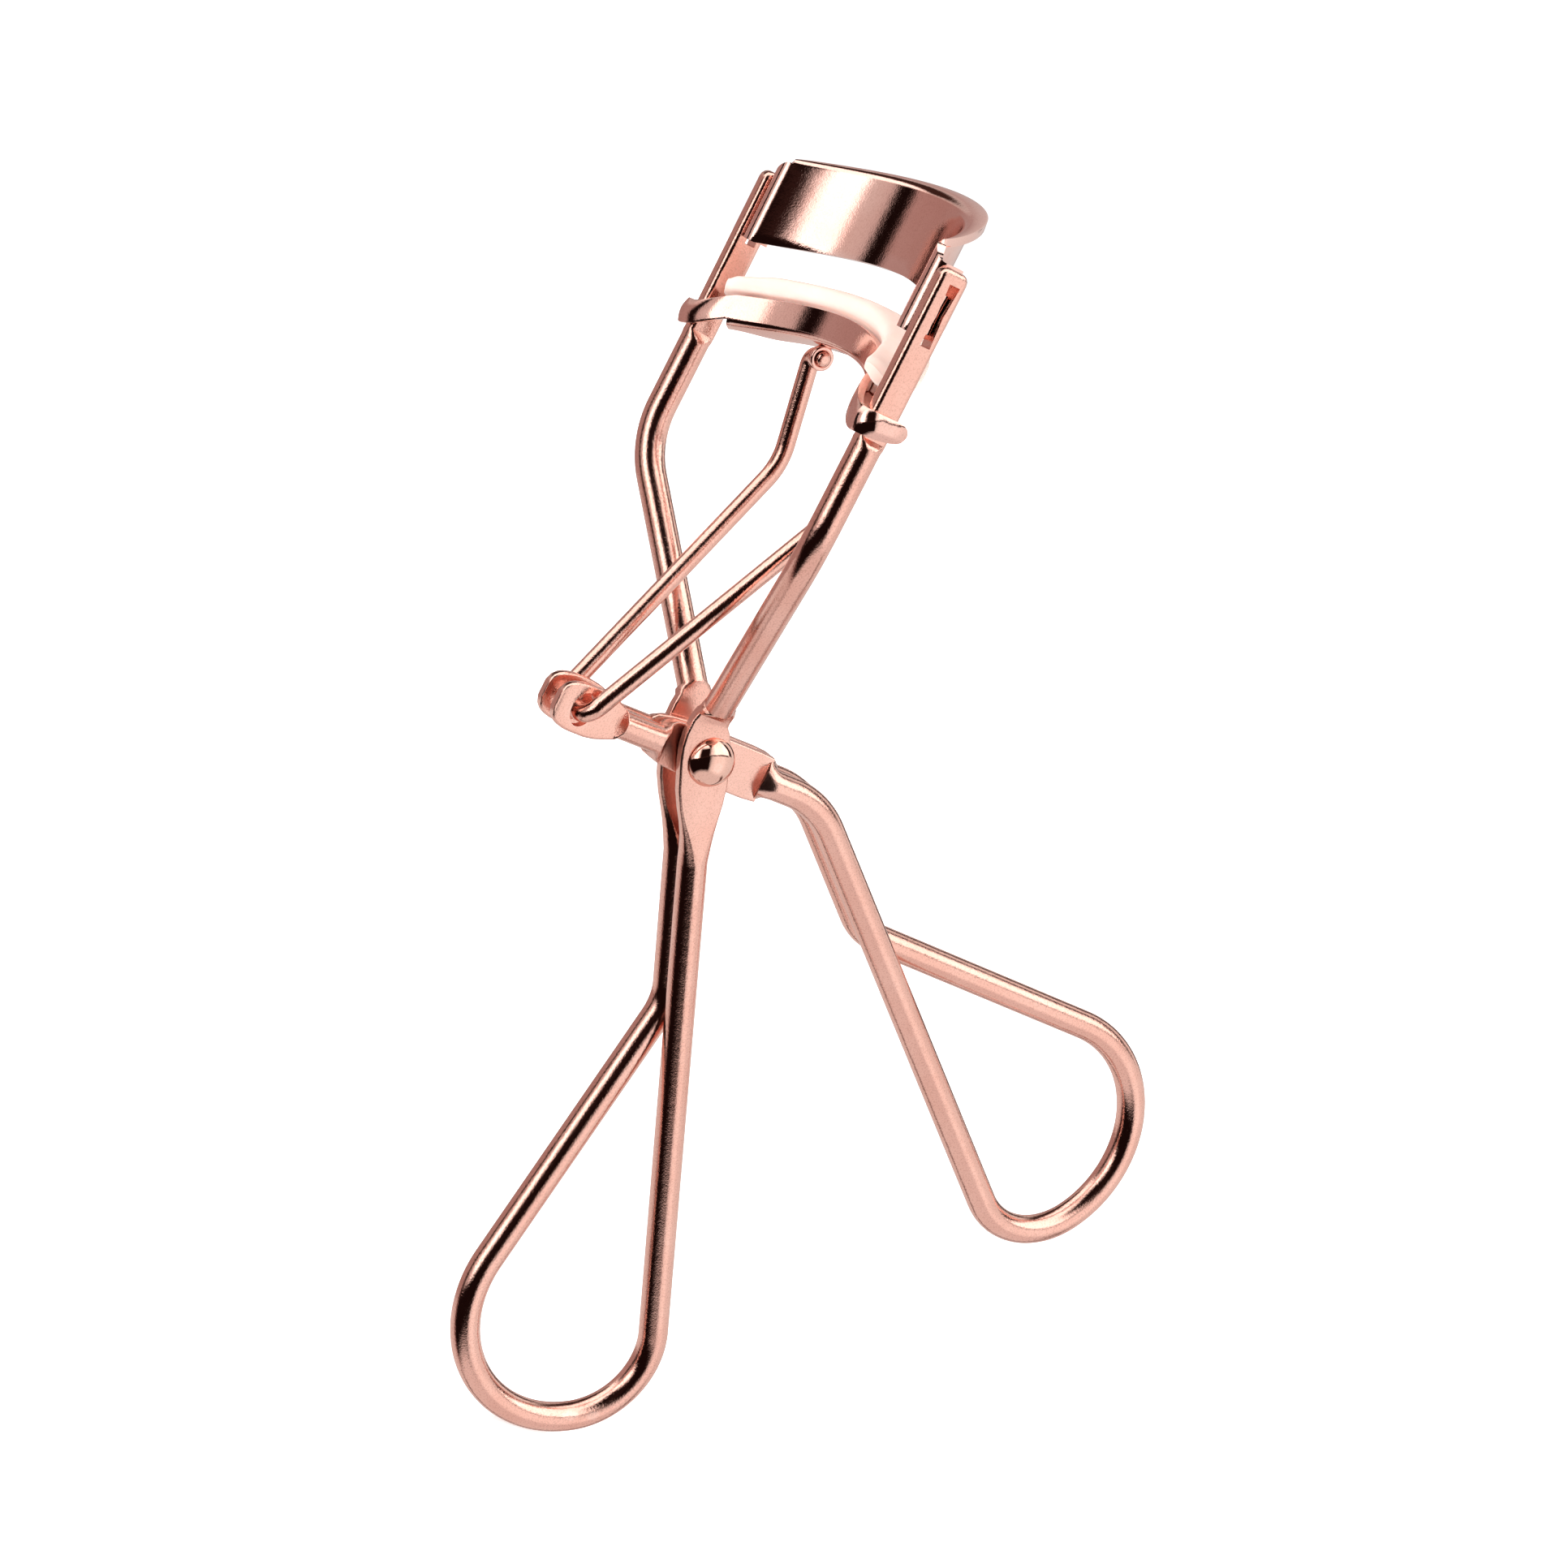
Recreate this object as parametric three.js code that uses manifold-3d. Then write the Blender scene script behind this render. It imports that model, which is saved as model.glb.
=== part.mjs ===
// Squeeze-handle eyelash curler: plated steel wire and sheet with a soft pad.
// Millimetres. +X runs along the pivot rivet and across the jaws, +Z runs up the two rails
// and +Y is the side that the jaws bulge to. The origin is the centre of the bounding box.
// It is drawn fully open: the guide collars stand on the lower shoulders of the rails.
// Everything is laid out from the pivot axis first and moved to the part's frame at the end.
import * as THREE from "three";
import { mergeVertices } from "three/addons/utils/BufferGeometryUtils.js";
import Module from "manifold-3d";

// ---------- driving dimensions ----------
const PIVOT = [0, -24.544, 5.266]; // the pivot axis in the part's frame

const WIRE_R = 1.4; // round stock of the frame and of the handle
const LINK_R = 0.85; // thinner stock of the link
const FLAT_HALF = 0.55; // half thickness of wire that is stamped flat
const WIRE_X = 1.45; // middle of each of the two wires that run side by side

const RAIL = { x: 17, y: -9.57, halfX: 0.75, halfY: 1.45, edge: 0.5, top: 49.1, foot: 33.2 };
const FLARE = { top: 22.2, lowX: 2.75, lowY: -2, lowZ: 4.9 }; // round wire between rail and leaf
const SLOT = { y: -9.34, half: 0.5, low: 42.2, high: 47.9 };

const FRAME_LEAF_X = 2.0; // stamped leaves at the pivot
const HANDLE_LEAF_X = 0.7;
const HANDLE_KNEE = [13, 0]; // y and z where the handle turns down
const EYE = { x: 1.4, half: 0.45, tip: -16.65, neck: -10 };
const EYE_HOLE = { y: -13.95, halfY: 1.15, halfZ: 1.6 };
const RIVET = { radius: 1, head: 2.3, face: 2.62, dome: 1.2 };
const FRAME_HOLE_R = 1.12;
const HANDLE_HOLE_R = 1.25;

// A finger loop: two legs open from the crotch, a tighter corner, then one wide round bottom.
// crotch is y and z where the two wires part, lean the near leg's angle from -Z towards +Y,
// open the angle between the legs and turn the way round.
const FRAME_LOOP = { crotch: [9.89, -22.85], lean: 24.6, open: 35.5, leg: 33, turn: -1 };
const HANDLE_LOOP = { crotch: [25.92, -10.35], lean: 51.5, open: 37.4, leg: 32, turn: 1 };
const LOOP_BENDS = { cornerR: 7.8, cornerTurn: 89, crotchR: 6 };

const UPPER = { thick: 0.8, apexY: -2.9, endX: 14.35, endY: -10.2, foldR: 0.75 };
const UPPER_OUTER_X = 15.71; // centre of the layer that lies against the rail
const UPPER_BACK_Y = -8.2;
const UPPER_LOW = 46.3; // height of the lower edge in the middle
const UPPER_CREASE = 53.7; // height of the crease under the lip in the middle
const LIP = { out: 1.9, rise: 0.8 };
const TAB = { halfY: 0.4, low: 43.1, high: 47.0, endX: 17.62 };

const JAW_SAG = 0.0172; // edges of the lower jaw and the pad fall by this times x squared
const LOWER = { thick: 0.7, radius: 20, apexY: -5.2, arcX: 13, top: 40.8, wall: 2.35 };
const COLLAR = { centreY: -10.3, radius: 1.3, backY: -7.5, top: 35.5, height: 2.1 };
const TROUGH = { halfX: 12, thick: 0.6, bend: 0.35, width: 2.95, back: 0.9 };
const LUG = { x: 5.4, half: 0.5, outer: 1.45, hole: 0.98 };
const PAD = { clipX: 15.9, radius: 19, apexY: -2.9, endX: 15, stemX: 8.8, top: 43.2, head: 2.0 };
const PAD_HEAD_HALF = 2.3;
const PAD_STEM = { half: 1.05, fromWall: 1.52, floorGap: 0.12 };

const PIN = { y: -3.95, z: 36.4, tipX: 4.6, elbowX: 6.9 };
const LINK_KNEE = [6.45, -2.04, 26.13];
const LINK_FOOT = [2.85, -13.9, -0.3];

const ROUND_STEPS = 4; // points on each quarter of a wire's section
const BEND_STEP = 13; // degrees between stations on a bend

// ---------- helpers ----------
const wasm = await Module();
wasm.setup();
const { degToRad: rad, radToDeg, smoothstep, lerp } = THREE.MathUtils;
const vec = (x, y, z) => new THREE.Vector3(x, y, z);

function toSolid(geometry) {
  const bare = geometry.clone();
  bare.deleteAttribute("normal");
  bare.deleteAttribute("uv");
  const merged = mergeVertices(bare, 1e-4);
  const vertProperties = new Float32Array(merged.attributes.position.array);
  const triVerts = new Uint32Array(merged.index.array);
  return new wasm.Manifold(new wasm.Mesh({ numProp: 3, vertProperties, triVerts }));
}

function toGeometry(solid) {
  const mesh = solid.getMesh();
  const geometry = new THREE.BufferGeometry();
  geometry.setAttribute("position", new THREE.BufferAttribute(mesh.vertProperties, 3));
  geometry.setIndex(new THREE.BufferAttribute(mesh.triVerts, 1));
  geometry.computeVertexNormals();
  return geometry;
}

// A closed solid over rings of equal length. Both ends are closed with strips between the two
// halves of the ring, which suits round wire and thin sheet alike.
function skin(rings) {
  const count = rings[0].length;
  const last = (rings.length - 1) * count;
  const faces = [];
  for (let i = 0; i + 1 < rings.length; i++) {
    for (let j = 0; j < count; j++) {
      const a = i * count + j;
      const b = i * count + ((j + 1) % count);
      faces.push(a, b, b + count, a, b + count, a + count);
    }
  }
  for (let j = 0; j + 1 < count / 2; j++) {
    const [a, b, c, d] = [j, j + 1, count - 2 - j, count - 1 - j];
    if (b !== c) faces.push(a, c, b);
    faces.push(a, d, c);
    if (b !== c) faces.push(last + a, last + b, last + c);
    faces.push(last + a, last + c, last + d);
  }
  const geometry = new THREE.BufferGeometry().setFromPoints(rings.flat());
  geometry.setIndex(faces);
  const solid = toSolid(geometry);
  if (solid.volume() > 0) return solid;
  const turned = faces.slice();
  for (let i = 0; i < turned.length; i += 3) {
    turned[i] = faces[i + 1];
    turned[i + 1] = faces[i];
  }
  geometry.setIndex(turned);
  return toSolid(geometry);
}

// Rounded rectangle of half sizes a and b with corner radius r, as points round the origin.
function outline({ a, b, r }) {
  const points = [];
  [
    [1, 1],
    [-1, 1],
    [-1, -1],
    [1, -1],
  ].forEach(([sx, sy], quarter) => {
    for (let i = 0; i < ROUND_STEPS; i++) {
      const angle = rad(90 * (quarter + (i + 0.5) / ROUND_STEPS));
      points.push([sx * (a - r) + r * Math.cos(angle), sy * (b - r) + r * Math.sin(angle)]);
    }
  });
  return points;
}

const round = (r) => ({ a: r, b: r, r });
const flat = (a, b, r = a * 0.75) => ({ a, b, r });
const key = (x, y, z, shape, bend = 0) => ({ p: vec(x, y, z), shape, bend });
const mirrored = (keys) =>
  keys
    .slice()
    .reverse()
    .map((k) => ({ ...k, p: vec(-k.p.x, k.p.y, k.p.z) }));

// Adds the stations of each bend: a true arc of the key's radius between its two straights.
function stationsOf(keys) {
  const stations = [];
  keys.forEach((k, i) => {
    if (!k.bend) {
      stations.push(k);
      return;
    }
    const into = k.p.clone().sub(keys[i - 1].p).normalize();
    const away = keys[i + 1].p.clone().sub(k.p).normalize();
    const turn = into.angleTo(away);
    const start = k.p.clone().addScaledVector(into, -k.bend * Math.tan(turn / 2));
    const inner = away.clone().sub(into).normalize();
    const centre = k.p.clone().addScaledVector(inner, k.bend / Math.cos(turn / 2));
    const axis = into.clone().cross(away).normalize();
    const steps = Math.max(2, Math.ceil(radToDeg(turn) / BEND_STEP));
    for (let s = 0; s <= steps; s++) {
      const arm = start.clone().sub(centre).applyAxisAngle(axis, (turn * s) / steps);
      stations.push({ ...k, p: arm.add(centre) });
    }
  });
  return stations;
}

// Wire through the keys. The section's first direction stays as near +X as the wire allows,
// or is carried along from `side` when the wire itself turns into the X direction.
function wire(keys, side = null) {
  const stations = stationsOf(keys);
  const carried = side;
  const rings = stations.map(({ p, shape }, i) => {
    const back = stations[Math.max(i - 1, 0)].p;
    const next = stations[Math.min(i + 1, stations.length - 1)].p;
    const along = vec(0, 0, 0);
    if (i > 0) along.add(p.clone().sub(back).normalize());
    if (i + 1 < stations.length) along.add(next.clone().sub(p).normalize());
    along.normalize();
    const wide = carried ? carried.clone() : vec(1, 0, 0);
    wide.addScaledVector(along, -wide.dot(along)).normalize();
    if (carried) carried.copy(wide);
    const high = along.clone().cross(wide);
    return outline(shape).map(([u, v]) =>
      p.clone().addScaledVector(wide, u).addScaledVector(high, v),
    );
  });
  return skin(rings);
}

// Sheet of even thickness over rows of centre points.
function sheet(rows, thickness) {
  const at = (i, j) => rows[Math.min(Math.max(i, 0), rows.length - 1)][j];
  const face = (sign) =>
    rows.map((row, i) =>
      row.map((p, j) => {
        const up = vec(0, 0, 0);
        if (j > 0) up.add(p.clone().sub(row[j - 1]).normalize());
        if (j + 1 < row.length) up.add(row[j + 1].clone().sub(p).normalize());
        const normal = at(i + 1, j).clone().sub(at(i - 1, j)).cross(up).normalize();
        return p.clone().addScaledVector(normal, (sign * thickness) / 2);
      }),
    );
  const front = face(1);
  const back = face(-1);
  return skin(front.map((row, i) => [...row, ...back[i].slice().reverse()]));
}

// A bar along +X with an oval outline, for holes.
function bar(halfX, y, z, halfY, halfZ) {
  const geometry = new THREE.CylinderGeometry(1, 1, 2 * halfX, 32).rotateZ(Math.PI / 2);
  return toSolid(geometry.scale(1, halfY, halfZ).translate(0, y, z));
}

function box(x0, x1, y0, y1, z0, z1) {
  const geometry = new THREE.BoxGeometry(x1 - x0, y1 - y0, z1 - z0);
  return toSolid(geometry.translate((x0 + x1) / 2, (y0 + y1) / 2, (z0 + z1) / 2));
}

const both = (make) => make(1).add(make(-1));

// ---------- finger loops ----------
// Keys from the foot of the near leg on the +X wire, round and up to the crotch on the -X wire.
function fingerLoop({ crotch: [cy, cz], lean, open, leg, turn }) {
  const { cornerR, cornerTurn, crotchR } = LOOP_BENDS;
  const place = (angle, from, radius, start) => [
    from[0] + turn * radius * (Math.cos(start) - Math.cos(angle)),
    from[1] + turn * radius * (Math.sin(start) - Math.sin(angle)),
  ];
  const a0 = rad(lean);
  const a1 = a0 + turn * rad(cornerTurn);
  const far = a0 + turn * rad(open);
  const a2 = far + turn * Math.PI;
  const legEnd = [cy + leg * Math.sin(a0), cz - leg * Math.cos(a0)];
  const cornerEnd = place(a1, legEnd, cornerR, a0);
  const off = (cornerEnd[0] - cy) * Math.cos(far) + (cornerEnd[1] - cz) * Math.sin(far);
  const wideR = (-turn * off) / (1 + Math.cos(a1 - far));
  const track = [];
  for (let s = 0; s <= 8; s++) {
    track.push(place(lerp(a0, a1, s / 8), legEnd, cornerR, a0));
  }
  for (let s = 1; s <= 12; s++) {
    track.push(place(lerp(a1, a2, s / 12), cornerEnd, wideR, a1));
  }
  // The near leg keeps to +WIRE_X and the rest of the loop drifts over to -WIRE_X.
  const points = [...track, [cy, cz]];
  const run = [0];
  for (let i = 1; i < points.length; i++) {
    const [dy, dz] = [points[i][0] - points[i - 1][0], points[i][1] - points[i - 1][1]];
    run.push(run[i - 1] + Math.hypot(dy, dz));
  }
  return points.map(([y, z], i) => {
    const x = lerp(WIRE_X, -WIRE_X, run[i] / run[points.length - 1]);
    return key(x, y, z, round(WIRE_R), i === points.length - 1 ? crotchR : 0);
  });
}

// ---------- frame wire ----------
const lineY = (z) =>
  FRAME_LOOP.crotch[0] - (z - FRAME_LOOP.crotch[1]) * Math.tan(rad(FRAME_LOOP.lean));
const railShape = { a: RAIL.halfX, b: RAIL.halfY, r: RAIL.edge };
const frameHalf = [
  key(RAIL.x, RAIL.y, RAIL.top, railShape),
  key(RAIL.x, RAIL.y, RAIL.foot, railShape),
  key(RAIL.x, RAIL.y - 0.05, RAIL.foot - 1, round(WIRE_R)),
  key(RAIL.x, RAIL.y - 0.13, FLARE.top, round(WIRE_R), 9),
  key(FLARE.lowX, FLARE.lowY, FLARE.lowZ, round(WIRE_R)),
  key(FRAME_LEAF_X + 0.12, lineY(3.2) + 0.3, 3.2, flat(FLAT_HALF + 0.1, 1.95)),
  key(FRAME_LEAF_X, lineY(1.4), 1.4, flat(FLAT_HALF, 2.4)),
  key(FRAME_LEAF_X, lineY(-2.6), -2.6, flat(FLAT_HALF, 2.45)),
  key(FRAME_LEAF_X, lineY(-5), -5, flat(FLAT_HALF, 2.0)),
  key(1.8, lineY(-6.8), -6.8, flat(1.05, 1.55)),
  key(WIRE_X, lineY(-8.8), -8.8, round(WIRE_R)),
];
let frameWire = wire([
  ...frameHalf,
  ...fingerLoop(FRAME_LOOP),
  ...mirrored(frameHalf),
]);
frameWire = frameWire.subtract(bar(4, 0, 0, FRAME_HOLE_R, FRAME_HOLE_R));
for (const side of [1, -1]) {
  const [x0, x1] = side > 0 ? [16, 18] : [-18, -16];
  const [y0, y1] = [SLOT.y - SLOT.half, SLOT.y + SLOT.half];
  frameWire = frameWire.subtract(box(x0, x1, y0, y1, SLOT.low, SLOT.high));
}

// ---------- handle wire ----------
const eye = (y, half) => key(EYE.x, y, 0, flat(EYE.half, half, 0.3));
const handleHalf = [
  eye(EYE.tip, 0.9),
  eye(-16.35, 1.55),
  eye(-15.7, 2.05),
  eye(-14.6, 2.3),
  eye(-12.6, 2.3),
  eye(-11.2, 2.0),
  eye(EYE.neck, 1.5),
  key(WIRE_X - 0.05, -9.2, 0, round(1.3)),
  key(WIRE_X - 0.05, -5.4, 0, round(1.3)),
  key(HANDLE_LEAF_X, -4.1, 0, flat(FLAT_HALF, 2.1)),
  key(HANDLE_LEAF_X, -2.4, 0, flat(FLAT_HALF, 2.3)),
  key(HANDLE_LEAF_X, 5.2, 0, flat(FLAT_HALF, 2.3)),
  key(HANDLE_LEAF_X + 0.1, 6.8, 0, flat(FLAT_HALF + 0.1, 2.0)),
  key(WIRE_X, 8.2, 0, round(WIRE_R)),
  key(WIRE_X, HANDLE_KNEE[0], HANDLE_KNEE[1], round(WIRE_R), 9),
];
let handleWire = wire([
  ...handleHalf,
  ...fingerLoop(HANDLE_LOOP),
  ...mirrored(handleHalf),
]);
handleWire = handleWire
  .subtract(bar(4, 0, 0, HANDLE_HOLE_R, HANDLE_HOLE_R))
  .subtract(bar(4, EYE_HOLE.y, 0, EYE_HOLE.halfY, EYE_HOLE.halfZ));

// ---------- pivot rivet ----------
const rivetSide = [[RIVET.radius, RIVET.face]];
for (let s = 0; s < 6; s++) {
  const angle = rad((90 * s) / 6);
  rivetSide.push([RIVET.head * Math.cos(angle), RIVET.face + 0.2 + RIVET.dome * Math.sin(angle)]);
}
rivetSide.splice(1, 0, [RIVET.head, RIVET.face]);
const rivetProfile = [
  new THREE.Vector2(0, -RIVET.face - 0.2 - RIVET.dome),
  ...rivetSide.slice().reverse().map(([r, x]) => new THREE.Vector2(r, -x)),
  ...rivetSide.map(([r, x]) => new THREE.Vector2(r, x)),
  new THREE.Vector2(0, RIVET.face + 0.2 + RIVET.dome),
];
const rivet = toSolid(new THREE.LatheGeometry(rivetProfile, 32).rotateZ(-Math.PI / 2));

// ---------- upper jaw ----------
// Centre line seen from above, from the middle to the +X end: x, y and the direction outwards.
function arcOf(radius, apexY, x) {
  return [x, apexY - radius + Math.sqrt(radius * radius - x * x)];
}
const upperDrop = UPPER.apexY - UPPER.endY;
const upperRadius = (UPPER.endX ** 2 + upperDrop ** 2) / (2 * upperDrop);
const upperPlan = [];
for (let s = 0; s <= 10; s++) {
  const x = UPPER.endX * Math.sin(rad(9 * s));
  const [, y] = arcOf(upperRadius, UPPER.apexY, x);
  upperPlan.push({ x, y, out: [x / upperRadius, (y - UPPER.apexY + upperRadius) / upperRadius] });
}
const foldStart = Math.asin(UPPER.endX / upperRadius);
const foldY = UPPER.endY + UPPER.foldR * Math.cos(foldStart);
const foldX = UPPER_OUTER_X - UPPER.foldR;
for (let s = 1; s <= 8; s++) {
  const heading = -foldStart + ((foldStart + Math.PI / 2) * s) / 8;
  const out = [-Math.sin(heading), Math.cos(heading)];
  const x = foldX - UPPER.foldR * out[0];
  upperPlan.push({ x, y: foldY - UPPER.foldR * out[1], out, fold: true });
}
upperPlan.push({ x: UPPER_OUTER_X, y: UPPER_BACK_Y, out: [-1, 0], fold: true });

const jawSag = (x, middle, end) => lerp(middle, end, (x / UPPER.endX) ** 2);
function upperRow({ x, y, out, fold }) {
  const inner = Math.min(x, UPPER.endX);
  const low = jawSag(inner, UPPER_LOW, 42.76);
  const step = fold ? smoothstep(x, UPPER.endX, UPPER_OUTER_X) : 0;
  const crease = jawSag(inner, UPPER_CREASE, 50.5) - 1.3 * step;
  const flare = Math.max(0, Math.cos((0.5 * Math.PI * inner) / UPPER.endX)) ** 0.6;
  const row = [0, 0.5, 1].map((t) => vec(x, y, lerp(low, crease, t)));
  for (let s = 1; s <= 4; s++) {
    const angle = rad(18 * s);
    const reach = (LIP.out * flare * (1 - Math.cos(angle))) / (1 - Math.cos(rad(72)));
    const rise = (0.12 + LIP.rise * flare) * (Math.sin(angle) / Math.sin(rad(72)));
    row.push(vec(x + out[0] * reach, y + out[1] * reach, crease + rise));
  }
  return row;
}
const upperRows = upperPlan.map(upperRow);
const otherSide = (rows) =>
  rows
    .slice(1)
    .reverse()
    .map((row) => row.map((p) => vec(-p.x, p.y, p.z)));
const tab = (side) => {
  const [x0, x1] = side > 0 ? [UPPER_OUTER_X, TAB.endX] : [-TAB.endX, -UPPER_OUTER_X];
  return box(x0, x1, SLOT.y - TAB.halfY, SLOT.y + TAB.halfY, TAB.low, TAB.high);
};
const upperJaw = sheet([...otherSide(upperRows), ...upperRows], UPPER.thick).add(both(tab));

// ---------- lower jaw ----------
// Front wall from the middle, out along its arc, through a wide counter-bend into the collar.
const lowerTop = (x) => LOWER.top - JAW_SAG * x * x;
const lowerPlan = [];
for (let s = 0; s <= 9; s++) {
  const [x, y] = arcOf(LOWER.radius, LOWER.apexY, (LOWER.arcX * s) / 9);
  lowerPlan.push({ x, y, top: lowerTop(x), height: LOWER.wall });
}
const collarFront = COLLAR.centreY - COLLAR.radius;
const [sweepX, sweepY] = arcOf(LOWER.radius, LOWER.apexY, LOWER.arcX);
const sweepTurn = Math.asin(LOWER.arcX / LOWER.radius);
const sweepR = (RAIL.x - sweepX) / Math.sin(sweepTurn);
for (let s = 1; s <= 4; s++) {
  const angle = sweepTurn * (1 - s / 4);
  const x = RAIL.x - sweepR * Math.sin(angle);
  const t = s / 4;
  const arcY = collarFront + sweepR * (1 - Math.cos(angle));
  const meet = sweepY - collarFront - sweepR * (1 - Math.cos(sweepTurn));
  const top = lerp(lowerTop(x), COLLAR.top, t * (0.5 + 0.5 * t));
  lowerPlan.push({ x, y: arcY + meet * (1 - t), top, height: lerp(LOWER.wall, COLLAR.height, t) });
}
for (let s = 1; s <= 5; s++) {
  const angle = rad(18 * s);
  const x = RAIL.x + COLLAR.radius * Math.sin(angle);
  const y = COLLAR.centreY - COLLAR.radius * Math.cos(angle);
  lowerPlan.push({ x, y, top: COLLAR.top, height: COLLAR.height });
}
const collarX = RAIL.x + COLLAR.radius;
const collarEnd = COLLAR.top - 0.15;
lowerPlan.push({ x: collarX, y: COLLAR.backY - 0.7, top: COLLAR.top, height: 1.7 });
lowerPlan.push({ x: collarX, y: COLLAR.backY - 0.2, top: collarEnd, height: 1.4 });
lowerPlan.push({ x: collarX, y: COLLAR.backY, top: COLLAR.top - 0.4, height: 0.9 });
const wallRows = lowerPlan.map(({ x, y, top, height }) =>
  [0, 0.5, 1].map((t) => vec(x, y, top - height * t)),
);
const wall = sheet([...otherSide(wallRows), ...wallRows], LOWER.thick);

// The trough behind the wall: bottom bend, floor and a low back wall.
const troughFloor = (x) => lowerTop(x) - LOWER.wall - TROUGH.bend;
function troughRow(x) {
  const [, y] = arcOf(LOWER.radius, LOWER.apexY, x);
  const out = [x / LOWER.radius, (y - LOWER.apexY + LOWER.radius) / LOWER.radius];
  const width = TROUGH.width - 0.9 * smoothstep(Math.abs(x), 9.3, TROUGH.halfX);
  const floor = troughFloor(0);
  const column = [[0, floor + TROUGH.bend + 0.7]];
  for (let s = 0; s <= 3; s++) {
    const angle = rad(30 * s);
    const n = TROUGH.bend * (1 - Math.cos(angle));
    column.push([n, floor + TROUGH.bend * (1 - Math.sin(angle))]);
  }
  for (let s = 0; s <= 3; s++) {
    const angle = rad(30 * s);
    const n = width - TROUGH.bend * (1 - Math.sin(angle));
    column.push([n, floor + TROUGH.bend * (1 - Math.cos(angle))]);
  }
  column.push([width, floor + TROUGH.bend + TROUGH.back]);
  return column.map(([n, z]) => {
    const px = x + out[0] * n;
    return vec(px, y + out[1] * n, z - JAW_SAG * px * px);
  });
}
const troughRows = [];
for (let s = -10; s <= 10; s++) troughRows.push(troughRow((TROUGH.halfX * s) / 10));
const trough = sheet(troughRows, TROUGH.thick);

// Two hooked lugs under the trough, each a ring round a pin of the link.
const lug = (side) => {
  const ring = bar(LUG.half, PIN.y, PIN.z, LUG.outer, LUG.outer);
  return ring.translate([side * LUG.x, 0, 0]);
};
const lugHole = (side) =>
  bar(LUG.half + 0.3, PIN.y, PIN.z, LUG.hole, LUG.hole).translate([side * LUG.x, 0, 0]);
const lowerJaw = wall.add(trough).add(both(lug)).subtract(both(lugHole));

// ---------- pad ----------
// Mushroom section: a round-topped head that overhangs the wall and a stem in the trough.
function padRow(x) {
  const [, y] = arcOf(PAD.radius, PAD.apexY, x);
  const out = [x / PAD.radius, (y - PAD.apexY + PAD.radius) / PAD.radius];
  const end = smoothstep(Math.abs(x), PAD.endX - 2.2, PAD.endX);
  const half = PAD_HEAD_HALF - 0.25 * end;
  const top = PAD.top - 0.5 * end;
  const under = PAD.top - PAD.head;
  const bare = smoothstep(Math.abs(x), PAD.stemX - 0.5, PAD.stemX + 0.5);
  const floor = troughFloor(0) + TROUGH.thick / 2 + PAD_STEM.floorGap;
  const foot = lerp(floor, under - 0.06, bare);
  const offWall = Math.hypot(x, y - LOWER.apexY + LOWER.radius) - LOWER.radius;
  const shift = lerp(PAD_STEM.fromWall - offWall, 0, bare);
  const head = [
    [0.35 * half, top],
    [0.72 * half, top - 0.18],
    [0.93 * half, top - 0.55],
    [half, top - 1.05],
    [0.93 * half, under + 0.12],
  ];
  const stem = [
    [PAD_STEM.half + 0.2, under],
    [PAD_STEM.half, Math.min(under - 0.03, lerp(under - 0.35, under - 0.03, bare))],
    [PAD_STEM.half - 0.05, foot],
  ];
  const ring = [
    ...head,
    ...stem.map(([n, z]) => [shift + n, z]),
    ...stem.map(([n, z]) => [shift - n, z]).reverse(),
    ...head.map(([n, z]) => [-n, z]).reverse(),
  ];
  return ring.map(([n, z]) => {
    const px = x + out[0] * n;
    return vec(px, y + out[1] * n, z - JAW_SAG * px * px);
  });
}
const padRings = [];
const padStations = [0, 1.6, 3.2, 4.8, 6.4, 7.6, 8.3, 8.8, 9.3, 10.6, 12, 13.2, 13.9, 14.5, PAD.endX];
for (const x of padStations.slice(1).reverse()) padRings.push(padRow(-x));
for (const x of padStations) padRings.push(padRow(x));
// Its back corners are trimmed to pass between the rails.
const pad = skin(padRings).intersect(box(-PAD.clipX, PAD.clipX, -20, 5, 30, 50));

// ---------- link wire ----------
const linkHalf = [
  key(PIN.tipX, PIN.y, PIN.z, round(LINK_R)),
  key(PIN.elbowX, PIN.y, PIN.z, round(LINK_R), 1.2),
  key(...LINK_KNEE, round(LINK_R), 6),
  key(...LINK_FOOT, round(LINK_R), 1.6),
];
const linkWire = wire([...linkHalf, ...mirrored(linkHalf)], vec(0, 0, 1));

// ---------- nodes ----------
const COLOURS = { wire: 0xe8ac9b, sheet: 0xf0b8a8, rivet: 0xf2c6b6, pad: 0xfae6dd };
const curler = new THREE.Group();
curler.name = "eyelash_curler";
function addNode(name, solid, color, metal = true) {
  const material = new THREE.MeshStandardMaterial({
    color,
    metalness: metal ? 1 : 0,
    roughness: metal ? 0.2 : 0.5,
  });
  const mesh = new THREE.Mesh(toGeometry(solid.translate(PIVOT)), material);
  mesh.name = name;
  curler.add(mesh);
}
addNode("frame_wire", frameWire, COLOURS.wire);
addNode("handle_wire", handleWire, COLOURS.wire);
addNode("pivot_rivet", rivet, COLOURS.rivet);
addNode("upper_jaw", upperJaw, COLOURS.sheet);
addNode("lower_jaw", lowerJaw, COLOURS.sheet);
addNode("silicone_pad", pad, COLOURS.pad, false);
addNode("link_wire", linkWire, COLOURS.wire);

export default curler;
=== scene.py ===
"""Looks for the eyelash curler: plated wire and sheet metal, silicone pad, studio light."""

import math

import bmesh
import bpy
from mathutils import Matrix, Vector


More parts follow.
